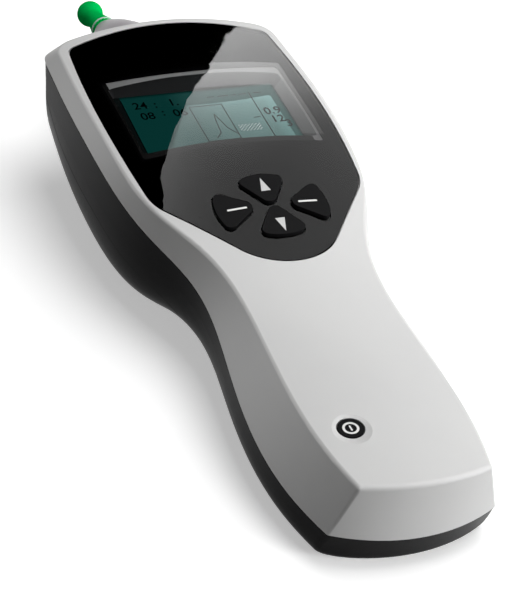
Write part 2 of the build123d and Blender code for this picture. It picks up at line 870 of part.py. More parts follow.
# Battery tray, open towards the cover
tray_half = cell_spread + cell_radius + tray_side_gap
tray_inside_top = cell_height + cell_radius + tray_top_gap
tray_middle = (tray_low + tray_high) / 2
tray_length = tray_high - tray_low
with BuildPart() as battery_tray:
    tray_width = 2 * (tray_half + tray_wall)
    tray_top = tray_inside_top + tray_roof
    slab(0, tray_middle, tray_width, tray_length + 2 * tray_wall, -30, tray_top)
    add(back_block(wall + tray_back_gap, 30), mode=Mode.INTERSECT)
    slab(0, tray_middle, 2 * tray_half, tray_length, -31, tray_inside_top, mode=Mode.SUBTRACT)
    lead_slot = tray_low + contact_thick / 2 + seat_gap
    slot_low = tray_inside_top - 1
    for side in (-1, 1):
        slot_x = side * cell_spread
        slab(slot_x, lead_slot, 3, contact_thick + 0.3, slot_low, tray_top + 1, mode=Mode.SUBTRACT)
save(battery_tray, "battery_tray")

# Four cells in two rows, laid head to tail
cell_step = cell_length + cell_gap
for number in range(4):
    side = -1 if number < 2 else 1
    start = cells_start + cell_step * (number % 2)
    end = start + cell_length
    with BuildPart() as cell:
        if side < 0:
            rod(side * cell_spread, cell_height, cell_radius, start, end - cell_nub)
            rod(side * cell_spread, cell_height, cell_nub_radius, end - cell_nub, end)
        else:
            rod(side * cell_spread, cell_height, cell_radius, start + cell_nub, end)
            rod(side * cell_spread, cell_height, cell_nub_radius, start, start + cell_nub)
    save(cell, f"aa_cell_{number + 1}")

# Contacts: two leaves at the tail, each with a tab up to the power board, and one plate that joins the rows
cells_end = cells_start + cell_step + cell_length
leaf_base = tray_low + seat_gap
leaf_tip = cells_start - seat_gap
with BuildPart() as battery_contacts:
    for side in (-1, 1):
        x = side * cell_spread
        middle = leaf_base + contact_thick / 2
        slab(x, middle, contact_width, contact_thick, cell_height - 6, cell_height + 6)
        slab(x, middle, 2.4, contact_thick, cell_height + 5, power_board_top - 0.2)
        leaf_origin = case.from_local_coords(Vector(x, 0, cell_height))
        with BuildSketch(Plane(origin=leaf_origin, x_dir=case.y_dir, z_dir=case.x_dir)) as leaf:
            with BuildLine() as leaf_line:
                Polyline((leaf_base + contact_thick, -5), (leaf_tip, 0), (leaf_base + contact_thick + 0.3, 4))
                offset(amount=contact_thick, side=Side.LEFT)
            make_face()
        extrude(leaf.sketch, amount=2.5, both=True)
    plate_along = tray_high - seat_gap - contact_thick / 2
    slab(0, plate_along, 2 * cell_spread + contact_width, contact_thick, cell_height - 5, cell_height + 5)
    for side in (-1, 1):
        rod(side * cell_spread, cell_height, 2.2, cells_end + seat_gap, tray_high - seat_gap)
save(battery_contacts, "battery_contacts")

with BuildPart() as battery_leads:
    for side in (-1, 1):
        lead_end = power_board_middle - power_board_length / 2 - seat_gap
        rod(side * cell_spread, power_board_top - 0.7, 0.45, leaf_base + contact_thick + seat_gap, lead_end)
save(battery_leads, "battery_leads")

# Pump: a motor turns a lead screw, which drives a piston along a cylinder
with BuildPart() as pump_motor:
    rod(pump_x, pump_height, motor_radius, motor_start, motor_start + motor_length)
    chamfer(pump_motor.edges().filter_by(GeomType.CIRCLE), 0.5)
    rod(pump_x, pump_height, shaft_radius, motor_start + motor_length, collar_start + 1.1)
    rod(pump_x, pump_height, 1.8, motor_start + motor_length, motor_start + motor_length + 0.8)
save(pump_motor, "pump_motor")

with BuildPart() as lead_screw:
    rod(pump_x, pump_height, collar_radius, collar_start, collar_start + collar_length)
    rod(pump_x, pump_height, screw_radius, collar_start + collar_length, screw_end)
    shaft_hole = shaft_radius + running_fit / 2
    rod(pump_x, pump_height, shaft_hole, collar_start - 1, collar_start + 1.2, mode=Mode.SUBTRACT)
save(lead_screw, "lead_screw")

piston_start = rod_start + rod_length
with BuildPart() as pump_piston:
    rod(pump_x, pump_height, rod_radius, rod_start, piston_start)
    slab(pump_x, rod_start + rod_length / 2, 2 * rod_flat, rod_length + 1, -30, 30, mode=Mode.INTERSECT)
    rod(pump_x, pump_height, piston_radius, piston_start, piston_start + piston_thick)
    rod(pump_x, pump_height, screw_radius + running_fit, rod_start - 1, piston_start, mode=Mode.SUBTRACT)
    groove_place = piston_start + piston_thick / 2 + seal_half
    with BuildSketch(across(groove_place, pump_x, pump_height)) as piston_groove:
        Circle(piston_radius + 1)
        Circle(piston_radius - 2 * piston_seal_radius, mode=Mode.SUBTRACT)
    extrude(piston_groove.sketch, amount=2 * seal_half, mode=Mode.SUBTRACT)
save(pump_piston, "pump_piston")

with BuildPart() as piston_seal:
    seal_plane = across(piston_start + piston_thick / 2, pump_x, pump_height)
    seal_centre = bore_radius - running_fit - piston_seal_radius
    with BuildSketch(Plane(origin=seal_plane.origin, x_dir=case.x_dir, z_dir=case.z_dir)) as seal_section:
        with Locations((seal_centre, 0)):
            Circle(piston_seal_radius)
    revolve(seal_section.sketch, axis=Axis(seal_plane.origin, case.y_dir))
save(piston_seal, "piston_seal")

cylinder_end = cylinder_start + cylinder_length
with BuildPart() as pump_cylinder:
    rod(pump_x, pump_height, bore_radius + cylinder_wall, cylinder_start, cylinder_end)
    bore_end = cylinder_end - cylinder_end_wall
    nipple_end = cylinder_end + nipple_length
    rod(pump_x, pump_height, bore_radius, cylinder_start - 1, bore_end, mode=Mode.SUBTRACT)
    rod(pump_x, pump_height, nipple_radius, cylinder_end, nipple_end)
    rod(pump_x, pump_height, nipple_bore, bore_end - 1, nipple_end + 1, mode=Mode.SUBTRACT)
save(pump_cylinder, "pump_cylinder")

with BuildPart() as pump_frame:
    frame_middle = (frame_start + frame_end) / 2
    slab(pump_x, frame_middle, 2 * frame_half, frame_end - frame_start, frame_low, frame_top)
    for x, along in pump_screw_places:
        pin(x, along, 3.2, frame_low, frame_top)
        slab((x + pump_x) / 2, along, abs(x - pump_x), 5, frame_low, frame_top)
    motor_wall = motor_start + motor_length + seat_gap + frame_wall / 2
    wall_top = pump_height + motor_radius - 1
    slab(pump_x, motor_wall, 2 * frame_half, frame_wall, frame_top, wall_top)
    slab(pump_x, guide_place + guide_thick / 2, 2 * frame_half, guide_thick, frame_top, wall_top)
    slab(pump_x, cylinder_start + cylinder_length / 2, 10, 6, frame_top, pump_height - 2)
    cradle_radius = bore_radius + cylinder_wall + seat_gap
    rod(pump_x, pump_height, cradle_radius, cylinder_start - 0.2, frame_end + 9, mode=Mode.SUBTRACT)
    rod(pump_x, pump_height, collar_radius, motor_start + motor_length, guide_place, mode=Mode.SUBTRACT)
    with BuildSketch(across(guide_place + guide_thick + 1, pump_x, pump_height)) as guide_hole:
        Circle(rod_radius + running_fit)
        Rectangle(2 * (rod_flat + running_fit), 4 * rod_radius, mode=Mode.INTERSECT)
    extrude(guide_hole.sketch, amount=guide_thick + 2, mode=Mode.SUBTRACT)
    for x, along in pump_screw_places:
        pin(x, along, board_screw_shank + board_hole_gap, frame_low - 1, frame_top + 1, mode=Mode.SUBTRACT)
save(pump_frame, "pump_frame")

# Pressure sensor under the board
with BuildPart() as pressure_sensor:
    sensor_top = board_bottom - seat_gap
    slab(*sensor_place, sensor_size[0], sensor_size[1], sensor_top - sensor_size[2], sensor_top)
    sensor_end = sensor_place[1] + sensor_size[1] / 2
    rod(sensor_place[0], sensor_barb_height, nipple_radius, sensor_end, sensor_end + nipple_length)
save(pressure_sensor, "pressure_sensor")

# Probe body, with its speaker and microphone behind and the tip tube ahead
with BuildPart() as probe_body:
    with BuildSketch(Plane(origin=probe.origin, x_dir=probe.z_dir, z_dir=probe.x_dir)) as body_section:
        with BuildLine():
            flange_place = spigot_length + seat_gap
            Polyline(
                (body_start, 0),
                (body_start, body_radius),
                (flange_place, body_radius),
                (flange_place, body_flange),
                (flange_place + body_flange_thick, body_flange),
                (flange_place + body_flange_thick, body_radius),
                (body_end, body_radius),
                (body_tip, body_tip_radius),
                (body_tip, 0),
                close=True,
            )
        make_face()
    revolve(body_section.sketch, axis=Axis(probe.origin, probe.z_dir))
    pocket_start = body_start - 1
    speaker_pocket = body_start + speaker_length + 2 * pocket_gap
    mic_pocket = body_start + mic_length + 2 * pocket_gap
    barb_start = body_start - nipple_length
    plug(0, speaker_drop, speaker_radius + pocket_gap, pocket_start, speaker_pocket, mode=Mode.SUBTRACT)
    plug(0, -mic_rise, mic_radius + pocket_gap, pocket_start, mic_pocket, mode=Mode.SUBTRACT)
    plug(0, 0, tip_tube_radius + seat_gap / 2, tip_tube_start - seat_gap, body_tip + 1, mode=Mode.SUBTRACT)
    plug(0, 0, tip_bore, 4, tip_tube_start + 1, mode=Mode.SUBTRACT)
    for side in (-1, 1):
        plug(side * barb_side, 0, nipple_radius, barb_start, body_start)
        plug(side * barb_side, 0, nipple_bore, barb_start - 1, body_start + 6, mode=Mode.SUBTRACT)
save(probe_body, "probe_body")

with BuildPart() as probe_speaker:
    plug(0, speaker_drop, speaker_radius, body_start + 0.1, body_start + 0.1 + speaker_length)
save(probe_speaker, "probe_speaker")

with BuildPart() as probe_mic:
    plug(0, -mic_rise, mic_radius, body_start + 0.1, body_start + 0.1 + mic_length)
save(probe_mic, "probe_mic")

with BuildPart() as probe_tip:
    plug(0, 0, tip_tube_radius, tip_tube_start, tip_tube_end)
    plug(0, 0, tip_bore, tip_tube_start - 1, tip_tube_end + 1, mode=Mode.SUBTRACT)
save(probe_tip, "probe_tip")

# Seal between the snout and the nose cone
with BuildPart() as nose_seal:
    with BuildSketch(Plane(origin=probe.origin, x_dir=probe.z_dir, z_dir=probe.x_dir)) as nose_seal_section:
        with Locations((seal_place, spigot_radius - seal_radius)):
            Circle(seal_radius)
    revolve(nose_seal_section.sketch, axis=Axis(probe.origin, probe.z_dir))
save(nose_seal, "nose_seal")

# Nose cone: turns off the snout, over the probe body
with BuildPart() as nose_cone:
    with BuildSketch(Plane(origin=probe.origin, x_dir=probe.z_dir, z_dir=probe.x_dir)) as nose_section:
        with BuildLine():
            ThreePointArc((nose_gap, nose_radius), (nose_mid_place, nose_mid), (nose_end, nose_tip))
            Polyline(
                (nose_end, nose_tip),
                (nose_end, tip_tube_radius + nose_fit),
                (nose_end - nose_wall, tip_tube_radius + nose_fit),
                (nose_mid_place - 0.4 * nose_wall, nose_mid - nose_wall),
                (spigot_length + 3, nose_radius - nose_wall - 0.2),
                (spigot_length + 2.8, spigot_radius + nose_fit),
                (nose_gap, spigot_radius + nose_fit),
                (nose_gap, nose_radius),
            )
        make_face()
    revolve(nose_section.sketch, axis=Axis(probe.origin, probe.z_dir))
save(nose_cone, "nose_cone")

# Ear tip: a soft ball on a waisted skirt, with a fluted collar, pushed over the tip tube
collar_end = ring_start - seat_gap
skirt_start = ring_start + ring_thick + seat_gap
with BuildPart() as ear_tip:
    tip_start = nose_end + tip_gap
    tube_hole = tip_tube_radius + tip_fit
    tube_hole_end = tip_tube_end + 0.5
    join_x = ball_place - ball_radius * cos(radians(neck_angle))
    join_y = ball_radius * sin(radians(neck_angle))
    blend_x = join_x - neck_blend * sin(radians(neck_angle))
    blend_y = join_y - neck_blend * cos(radians(neck_angle))
    mouth = ball_place + sqrt(ball_radius**2 - tip_bore**2)
    with BuildSketch(Plane(origin=probe.origin, x_dir=probe.z_dir, z_dir=probe.x_dir)) as tip_section:
        with BuildLine():
            Polyline(
                (mouth, tip_bore),
                (tube_hole_end, tip_bore),
                (tube_hole_end, tube_hole),
                (tip_start, tube_hole),
                (tip_start, collar_of_tip),
                (collar_end, collar_of_tip),
                (collar_end, core_of_tip),
                (skirt_start, core_of_tip),
                (skirt_start, skirt_radius),
            )
            Bezier(
                (skirt_start, skirt_radius),
                (neck_place, neck_radius),
                (blend_x, blend_y),
                (join_x, join_y),
            )
            ThreePointArc((join_x, join_y), (ball_place, ball_radius), (mouth, tip_bore))
        make_face()
    revolve(tip_section.sketch, axis=Axis(probe.origin, probe.z_dir))
    with BuildSketch(probe.offset(tip_start)) as flutes:
        with PolarLocations(collar_of_tip, flute_count):
            Circle(flute_radius)
    extrude(flutes.sketch, amount=collar_end - tip_start, mode=Mode.SUBTRACT)
save(ear_tip, "ear_tip")

# Thin pale ring that sits in the groove of the ear tip
with BuildPart() as probe_ring:
    plug(0, 0, ring_radius, ring_start, ring_start + ring_thick)
    fillet(probe_ring.edges().filter_by(GeomType.CIRCLE), ring_round)
    plug(0, 0, core_of_tip + seat_gap, ring_start - 1, ring_start + ring_thick + 1, mode=Mode.SUBTRACT)
save(probe_ring, "probe_ring")


def probe_point(x, y, place):
    """Point given along the probe's axis, in the case's own plane."""
    point = case.to_local_coords(probe.from_local_coords(Vector(x, y, place)))
    return point.X, point.Y, point.Z


# Air tube from the pump to the probe, and sensor tube from the probe to the pressure sensor
tube_end = body_start - 0.3
tube_turn = body_start - 6.0
with BuildPart() as air_tube:
    pump_outlet = cylinder_end + 0.3
    air_route = [
        (pump_x, pump_outlet, pump_height),
        (pump_x, pump_outlet + 5.0, pump_height),
        probe_point(-barb_side, 0, tube_turn),
        probe_point(-barb_side, 0, tube_end),
    ]
    tube(air_route, tube_bend, tube_outer, tube_inner)
save(air_tube, "air_tube")

with BuildPart() as sensor_tube:
    sensor_outlet = sensor_end + 0.3
    sensor_route = [
        (sensor_place[0], sensor_outlet, sensor_barb_height),
        (sensor_place[0], sensor_outlet + 5.0, sensor_barb_height),
        probe_point(barb_side, 0, tube_turn),
        probe_point(barb_side, 0, tube_end),
    ]
    tube(sensor_route, tube_bend, tube_outer, tube_inner)
save(sensor_tube, "sensor_tube")

# Wires from the microphone and the speaker to the edge of the board
wire_radius = 0.4
wire_end = (board_high + seat_gap, board_top - board_thick / 2)
with BuildPart() as probe_wires:
    for side in (-1, 1):
        mic_x = 0.8 * side
        mic_route = [
            probe_point(mic_x, -mic_rise, body_start),
            probe_point(mic_x, -mic_rise, body_start - 3.0),
            (mic_x, wire_end[0] + 2.5, wire_end[1]),
            (mic_x, *wire_end),
        ]
        tube(mic_route, 1.4, wire_radius)
        speaker_x = 2.4 * side
        speaker_route = [
            probe_point(speaker_x, speaker_drop, body_start),
            probe_point(speaker_x, speaker_drop, body_start - 4.5),
            (speaker_x, wire_end[0] + 2.5, wire_end[1]),
            (speaker_x, *wire_end),
        ]
        tube(speaker_route, 1.4, wire_radius)
save(probe_wires, "probe_wires")


def screw(x, along, head_from, head_to, shank_to, head_radius, shank_radius):
    """Screw that points up, with a cross recess in its head."""
    pin(x, along, head_radius, head_from, head_to)
    pin(x, along, shank_radius, head_to, shank_to)
    slab(x, along, 1.3 * head_radius, 0.3 * head_radius, head_from, head_from + 0.6, mode=Mode.SUBTRACT)
    slab(x, along, 0.3 * head_radius, 1.3 * head_radius, head_from, head_from + 0.6, mode=Mode.SUBTRACT)


# Screws: four join the case halves, four hold the board and two hold the pump frame
with BuildPart() as case_screws:
    for x, along in case_screw_places:
        seat = (tail_head if along < 90 else head_head) - seat_gap
        reach = tail_split + tail_thread if along < 90 else head_split + head_thread
        screw(x, along, seat - screw_head_thick, seat, reach - 0.5, screw_head, screw_shank)
save(case_screws, "case_screws")

with BuildPart() as board_screws:
    seat = board_bottom - seat_gap
    reach = board_thread_end - 0.5
    for x, along in board_screw_places:
        screw(x, along, seat - board_screw_head_thick, seat, reach, board_screw_head, board_screw_shank)
save(board_screws, "board_screws")

with BuildPart() as pump_screws:
    seat = frame_top + seat_gap
    for x, along in pump_screw_places:
        pin(x, along, board_screw_head, seat, seat + board_screw_head_thick)
        pin(x, along, board_screw_shank, frame_low - 4.5, seat)
        slab(x, along, 2.4, 0.6, seat + board_screw_head_thick - 0.6, seat + 2, mode=Mode.SUBTRACT)
        slab(x, along, 0.6, 2.4, seat + board_screw_head_thick - 0.6, seat + 2, mode=Mode.SUBTRACT)
save(pump_screws, "pump_screws")
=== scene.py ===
import json
import math

import bmesh
import bpy
from mathutils import Matrix, Vector
from mathutils.bvhtree import BVHTree


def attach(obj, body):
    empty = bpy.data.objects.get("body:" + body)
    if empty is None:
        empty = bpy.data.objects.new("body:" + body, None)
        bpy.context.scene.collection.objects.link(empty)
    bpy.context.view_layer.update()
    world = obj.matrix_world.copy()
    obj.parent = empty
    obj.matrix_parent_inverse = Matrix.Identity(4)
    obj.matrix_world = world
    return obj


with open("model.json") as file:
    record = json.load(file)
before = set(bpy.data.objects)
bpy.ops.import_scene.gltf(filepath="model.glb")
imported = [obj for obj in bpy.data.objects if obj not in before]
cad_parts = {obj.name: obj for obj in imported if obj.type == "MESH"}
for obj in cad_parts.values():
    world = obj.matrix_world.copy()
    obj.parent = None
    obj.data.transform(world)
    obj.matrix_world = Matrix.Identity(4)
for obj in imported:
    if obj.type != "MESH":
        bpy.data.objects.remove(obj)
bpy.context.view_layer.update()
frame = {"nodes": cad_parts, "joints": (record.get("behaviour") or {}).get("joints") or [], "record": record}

nodes = frame["nodes"]
scene = bpy.context.scene
mm = 0.001
print("frame:", len(nodes), "nodes")

# The case's own directions: across, along to the probe, and square to the display
pumpStart = Vector((-11.0, 130.9, -0.5))      # where the lead screw begins, in case millimetres
screwJoint = next(j for j in frame["joints"] if j["name"] == "lead_screw_turn")
across = Vector((1, 0, 0))
along = Vector(screwJoint["axis"]).normalized()
square = across.cross(along)
tilt = math.atan2(along.z, along.y)
turned = Matrix((across, along, square)).transposed()
origin = Vector(screwJoint["pos_m"]) - turned @ pumpStart * mm
caseMatrix = Matrix.Translation(origin) @ turned.to_4x4() @ Matrix.Scale(mm, 4)
outside = 60.0      # far enough from the case, on any side, to cast rays at it


def tone(red, green, blue):      # a colour as it shows on a screen, 0 to 255, made linear
    shares = [c / 255 for c in (red, green, blue)]
    return tuple(c / 12.92 if c < 0.04 else ((c + 0.055) / 1.055) ** 2.4 for c in shares) + (1.0,)


# Shader helpers: a wire is one socket, and sums on it add their Math nodes
class Wire:
    def __init__(self, wiring, socket):
        self.wiring = wiring
        self.socket = socket

    def maths(self, operation, *values):
        return self.wiring.add("ShaderNodeMath", {"operation": operation}, dict(enumerate(values)))

    def __add__(self, other):
        return self.maths("ADD", self, other)

    def __radd__(self, other):
        return self.maths("ADD", other, self)

    def __sub__(self, other):
        return self.maths("SUBTRACT", self, other)

    def __rsub__(self, other):
        return self.maths("SUBTRACT", other, self)

    def __mul__(self, other):
        return self.maths("MULTIPLY", self, other)

    def __rmul__(self, other):
        return self.maths("MULTIPLY", other, self)

    def __truediv__(self, other):
        return self.maths("DIVIDE", self, other)

    def __gt__(self, other):
        return self.maths("GREATER_THAN", self, other)

    def __lt__(self, other):
        return self.maths("LESS_THAN", self, other)

    def __abs__(self):
        return self.maths("ABSOLUTE", self)

    def most(self, other):
        return self.maths("MAXIMUM", self, other)

    def least(self, other):
        return self.maths("MINIMUM", self, other)

    def remainder(self):      # what is over a whole number
        return self.maths("FRACT", self)


class Wiring:
    def __init__(self, tree):
        self.tree = tree

    def feed(self, socket, value):
        if isinstance(value, Wire):
            self.tree.links.new(value.socket, socket)
        else:
            socket.default_value = value

    # Any node: its settings first, then the values or wires of its sockets
    def add(self, kind, settings=None, sockets=None, out=0):
        node = self.tree.nodes.new(kind)
        for key, value in (settings or {}).items():
            setattr(node, key, value)
        for key, value in (sockets or {}).items():
            self.feed(node.inputs[key], value)
        return Wire(self, node.outputs[out])

    def dot(self, first, second):
        product = {"operation": "DOT_PRODUCT"}
        return self.add("ShaderNodeVectorMath", product, {0: first, 1: second}, out="Value")

    # Rises from low to high while the value goes from start to end
    def ramp(self, value, start, end, low=0.0, high=1.0, kind="LINEAR"):
        sockets = {"Value": value, "From Min": start, "From Max": end, "To Min": low, "To Max": high}
        return self.add("ShaderNodeMapRange", {"interpolation_type": kind}, sockets)


finishes = {}      # each material by its name


class Finish(Wiring):
    def __init__(self, name, plain=False):      # a plain one has no skin, and is fed from its own shaders
        self.material = bpy.data.materials.new(name)
        self.material.use_nodes = True
        super().__init__(self.material.node_tree)
        self.skin = self.tree.nodes["Principled BSDF"]
        self.surface = self.tree.nodes["Material Output"].inputs["Surface"]
        if plain:
            self.tree.nodes.remove(self.skin)
        finishes[name] = self.material

    def give(self, sockets):
        for key, value in sockets.items():
            self.feed(self.skin.inputs[key], value)

    # Places in case millimetres, for patterns that line up with the case
    def casePlace(self):
        place = self.add("ShaderNodeTexCoord", out="Object")
        turn = {"Vector": place, "Location": origin, "Rotation": (tilt, 0, 0), "Scale": (mm, mm, mm)}
        return self.add("ShaderNodeMapping", {"vector_type": "TEXTURE"}, turn)

    def parts(self, place):
        split = self.tree.nodes.new("ShaderNodeSeparateXYZ")
        self.feed(split.inputs[0], place)
        return [Wire(self, out) for out in split.outputs]

    def facing(self, kind, direction):
        return self.dot(self.add("ShaderNodeNewGeometry", out=kind), direction)

    def noise(self, place, size, detail=2.0, rough=0.5):
        sockets = {"Vector": place, "Scale": 1 / size, "Detail": detail, "Roughness": rough}
        return self.add("ShaderNodeTexNoise", {}, sockets)

    def blend(self, factor, first, second):
        return self.add("ShaderNodeMix", {"data_type": "RGBA"}, {0: factor, 6: first, 7: second}, out=2)

    def mixed(self, factor, first, second):
        return self.add("ShaderNodeMixShader", {}, {0: factor, 1: first, 2: second})

    def uneven(self, pattern, look):      # a roughness that varies about its middle value
        return pattern * look["spread"] + (look["rough"] - look["spread"] / 2)

    def relief(self, height, depth):
        bump = self.add("ShaderNodeBump", {}, {"Strength": 1.0, "Distance": depth * mm, "Height": height})
        self.feed(self.skin.inputs["Normal"], bump)


# Plastics and rubbers: colour and shade blend in soft clouds, over a fine grain
mould = {"cloud": 22.0, "grainRough": 0.55, "spread": 0.12}
plastics = {
    "case_light": {"colour": (214, 214, 213), "shade": (207, 207, 207), "rough": 0.40, "grain": 0.45,
                   "relief": 0.004, "specular": 0.15},
    "case_dark": {"colour": (11, 11, 12), "shade": (8, 8, 9), "rough": 0.30, "grain": 0.40,
                  "relief": 0.008, "specular": 0.03},
    "key_black": {"colour": (15, 15, 16), "shade": (11, 11, 12), "rough": 0.44, "grain": 0.30,
                  "relief": 0.006, "specular": 0.04},
    "print_black": {"colour": (5, 5, 6), "shade": (3, 3, 4), "rough": 0.60, "grain": 0.50,
                    "relief": 0.0, "specular": 0.0},
    "backlight_white": {"colour": (236, 238, 234), "shade": (228, 230, 226), "rough": 0.5, "grain": 0.6,
                        "relief": 0.004, "specular": 0.4},
    "mat_grey": {"colour": (128, 128, 131), "shade": (118, 118, 121), "rough": 0.62, "grain": 0.35,
                 "relief": 0.012, "specular": 0.35},
    "chip_black": {"colour": (34, 34, 35), "shade": (26, 26, 27), "rough": 0.55, "grain": 0.12,
                   "relief": 0.008, "specular": 0.4},
    "socket_white": {"colour": (226, 222, 208), "shade": (216, 211, 196), "rough": 0.45, "grain": 0.3,
                     "relief": 0.006, "specular": 0.45},
    "tray_black": {"colour": (48, 48, 49), "shade": (40, 40, 41), "rough": 0.5, "grain": 0.4,
                   "relief": 0.012, "specular": 0.4},
    "pump_plastic": {"colour": (224, 223, 216), "shade": (214, 213, 205), "rough": 0.42, "grain": 0.5,
                     "relief": 0.006, "specular": 0.5},
    "seal_black": {"colour": (28, 28, 29), "shade": (22, 22, 23), "rough": 0.48, "grain": 0.2,
                   "relief": 0.008, "specular": 0.4},
    "tube_silicone": {"colour": (222, 222, 214), "shade": (210, 210, 202), "rough": 0.36, "grain": 0.6,
                      "relief": 0.006, "specular": 0.45},
    "probe_grey": {"colour": (158, 158, 160), "shade": (148, 148, 150), "rough": 0.40, "grain": 0.4,
                   "relief": 0.006, "specular": 0.5},
    "nose_grey": {"colour": (174, 170, 174), "shade": (165, 161, 165), "rough": 0.36, "grain": 0.35,
                  "relief": 0.005, "specular": 0.25},
    "ring_pale": {"colour": (204, 228, 219), "shade": (194, 220, 209), "rough": 0.32, "grain": 0.3,
                  "relief": 0.004, "specular": 0.25},
    "mark_pale": {"colour": (204, 204, 203), "shade": (196, 196, 195), "rough": 0.45, "grain": 0.15,
                  "relief": 0.002, "specular": 0.2},
    "mark_white": {"colour": (232, 232, 230), "shade": (224, 224, 222), "rough": 0.45, "grain": 0.15,
                   "relief": 0.002, "specular": 0.4},
    "display_ink": {"colour": (1, 6, 6), "shade": (0, 3, 3), "rough": 0.6, "grain": 0.3,
                    "relief": 0.0, "specular": 0.0},
    "groove_painted_shade": {"colour": (6, 6, 6), "shade": (4, 4, 4), "rough": 0.7, "grain": 0.3,
                     "relief": 0.0, "specular": 0.1},
}


def mouldedPlastic(name, look):
    finish = Finish(name)
    place = finish.casePlace()
    grain = finish.noise(place, look["grain"], rough=mould["grainRough"])
    clouds = finish.noise(place, mould["cloud"])
    finish.give({
        "Base Color": finish.blend(clouds, tone(*look["colour"]), tone(*look["shade"])),
        "Roughness": finish.uneven(grain, {"rough": look["rough"], "spread": mould["spread"]}),
        "Specular IOR Level": look["specular"],
    })
    if look["relief"]:
        finish.relief(grain, look["relief"])


for name, look in plastics.items():
    mouldedPlastic(name, look)

# Metals: fine streaks that run along the case
metals = {
    "spring_steel": {"colour": (200, 200, 202), "shade": (172, 172, 175), "rough": 0.28, "streak": 0.25},
    "motor_steel": {"colour": (188, 189, 191), "shade": (160, 161, 164), "rough": 0.36, "streak": 0.5},
    "receiver_metal": {"colour": (196, 194, 190), "shade": (170, 168, 164), "rough": 0.30, "streak": 0.3},
    "screw_steel": {"colour": (120, 121, 124), "shade": (90, 91, 95), "rough": 0.38, "streak": 0.2},
}
drawing = {"pull": (1.0, 0.08, 1.0), "detail": 3.0, "streakRough": 0.6, "spread": 0.2, "relief": 0.003}


def drawnMetal(name, look):
    finish = Finish(name)
    pulled = finish.add("ShaderNodeMapping", {}, {"Vector": finish.casePlace(), "Scale": drawing["pull"]})
    streaks = finish.noise(pulled, look["streak"], drawing["detail"], drawing["streakRough"])
    finish.give({
        "Base Color": finish.blend(streaks, tone(*look["colour"]), tone(*look["shade"])),
        "Roughness": finish.uneven(streaks, {"rough": look["rough"], "spread": drawing["spread"]}),
        "Metallic": 1.0,
    })
    finish.relief(streaks, drawing["relief"])


for name, look in metals.items():
    drawnMetal(name, look)

# Clear lens: its front reflects by the angle, and more over the top and right walls of the window. Its back
# is printed black round the window, and so are its cut edges.
lensLook = {"index": 1.49, "rough": 0.02, "paint": (3, 3, 3), "edgeOn": 0.5,
            "low": 126.9, "high": 162.7, "half": 27.4, "gainLow": 129.0, "topFrom": 150.8, "sideFrom": 20.0,
            "soft": 1.0, "gain": (-12.0, 18.0, 0.35, 0.6)}      # gain: from and to, least and most


def clearLens(name):
    finish = Finish(name, plain=True)
    x, y = finish.parts(finish.casePlace())[:2]
    overWindow = (y > lensLook["low"]) * (y < lensLook["high"]) * (abs(x) < lensLook["half"])
    byTop = finish.ramp(y, lensLook["topFrom"], lensLook["topFrom"] + lensLook["soft"])
    bySide = finish.ramp(x, lensLook["sideFrom"], lensLook["sideFrom"] + lensLook["soft"])
    overWalls = byTop.most(bySide) * overWindow * (y > lensLook["gainLow"])
    gain = finish.ramp(x, *lensLook["gain"]) * overWalls + 1
    gloss = finish.add("ShaderNodeFresnel", {}, {"IOR": lensLook["index"]}) * gain
    behind = finish.add("ShaderNodeNewGeometry", out="Backfacing")
    clear = finish.add("ShaderNodeBsdfTransparent", {}, {"Color": (1, 1, 1, 1)})
    mirror = finish.add("ShaderNodeBsdfGlossy", {}, {"Color": (1, 1, 1, 1), "Roughness": lensLook["rough"]})
    paint = finish.add("ShaderNodeBsdfDiffuse", {}, {"Color": tone(*lensLook["paint"])})
    cut = abs(finish.facing("True Normal", square)) < lensLook["edgeOn"]
    printed = (behind * (1 - overWindow)).most(cut)
    polished = finish.mixed(gloss * (1 - behind), clear, mirror)
    finish.feed(finish.surface, finish.mixed(printed, polished, paint))


clearLens("lens_clear")

# Bezel: dark grey walls round the window, and black on the other flats. The pale strip along its top is a
# painted highlight, and the lighter wall at its right is painted light.
bezelLook = {"strip": (124, 125, 125), "wall": (44, 44, 45), "side": (98, 98, 99), "black": (8, 8, 8),
             "rough": 0.34, "spread": 0.1, "grain": 0.3, "specular": 0.04, "level": 0.93,
             "stripFrom": 156.5, "stripLeft": -25.4, "lip": 19.5, "sideFrom": 24.2}


def framePlasticWithPaintedLight(name):
    finish = Finish(name)
    place = finish.casePlace()
    x, y, z = finish.parts(place)
    onFlat = finish.facing("True Normal", square) > bezelLook["level"]
    # Painted highlight: the pale strip along the top. Painted light: the lighter right wall.
    onTop = (y > bezelLook["stripFrom"]) * (x > bezelLook["stripLeft"])
    onPaintedHighlight = onTop * onFlat.most(z > bezelLook["lip"])
    onPaintedLitWall = (x > bezelLook["sideFrom"]) * (1 - onTop)
    rest = finish.blend(onFlat, tone(*bezelLook["wall"]), tone(*bezelLook["black"]))
    rest = finish.blend(onPaintedLitWall, rest, tone(*bezelLook["side"]))
    finish.give({
        "Base Color": finish.blend(onPaintedHighlight, rest, tone(*bezelLook["strip"])),
        "Roughness": finish.uneven(finish.noise(place, bezelLook["grain"]), bezelLook),
        "Specular IOR Level": bezelLook["specular"],
    })


framePlasticWithPaintedLight("bezel_grey")
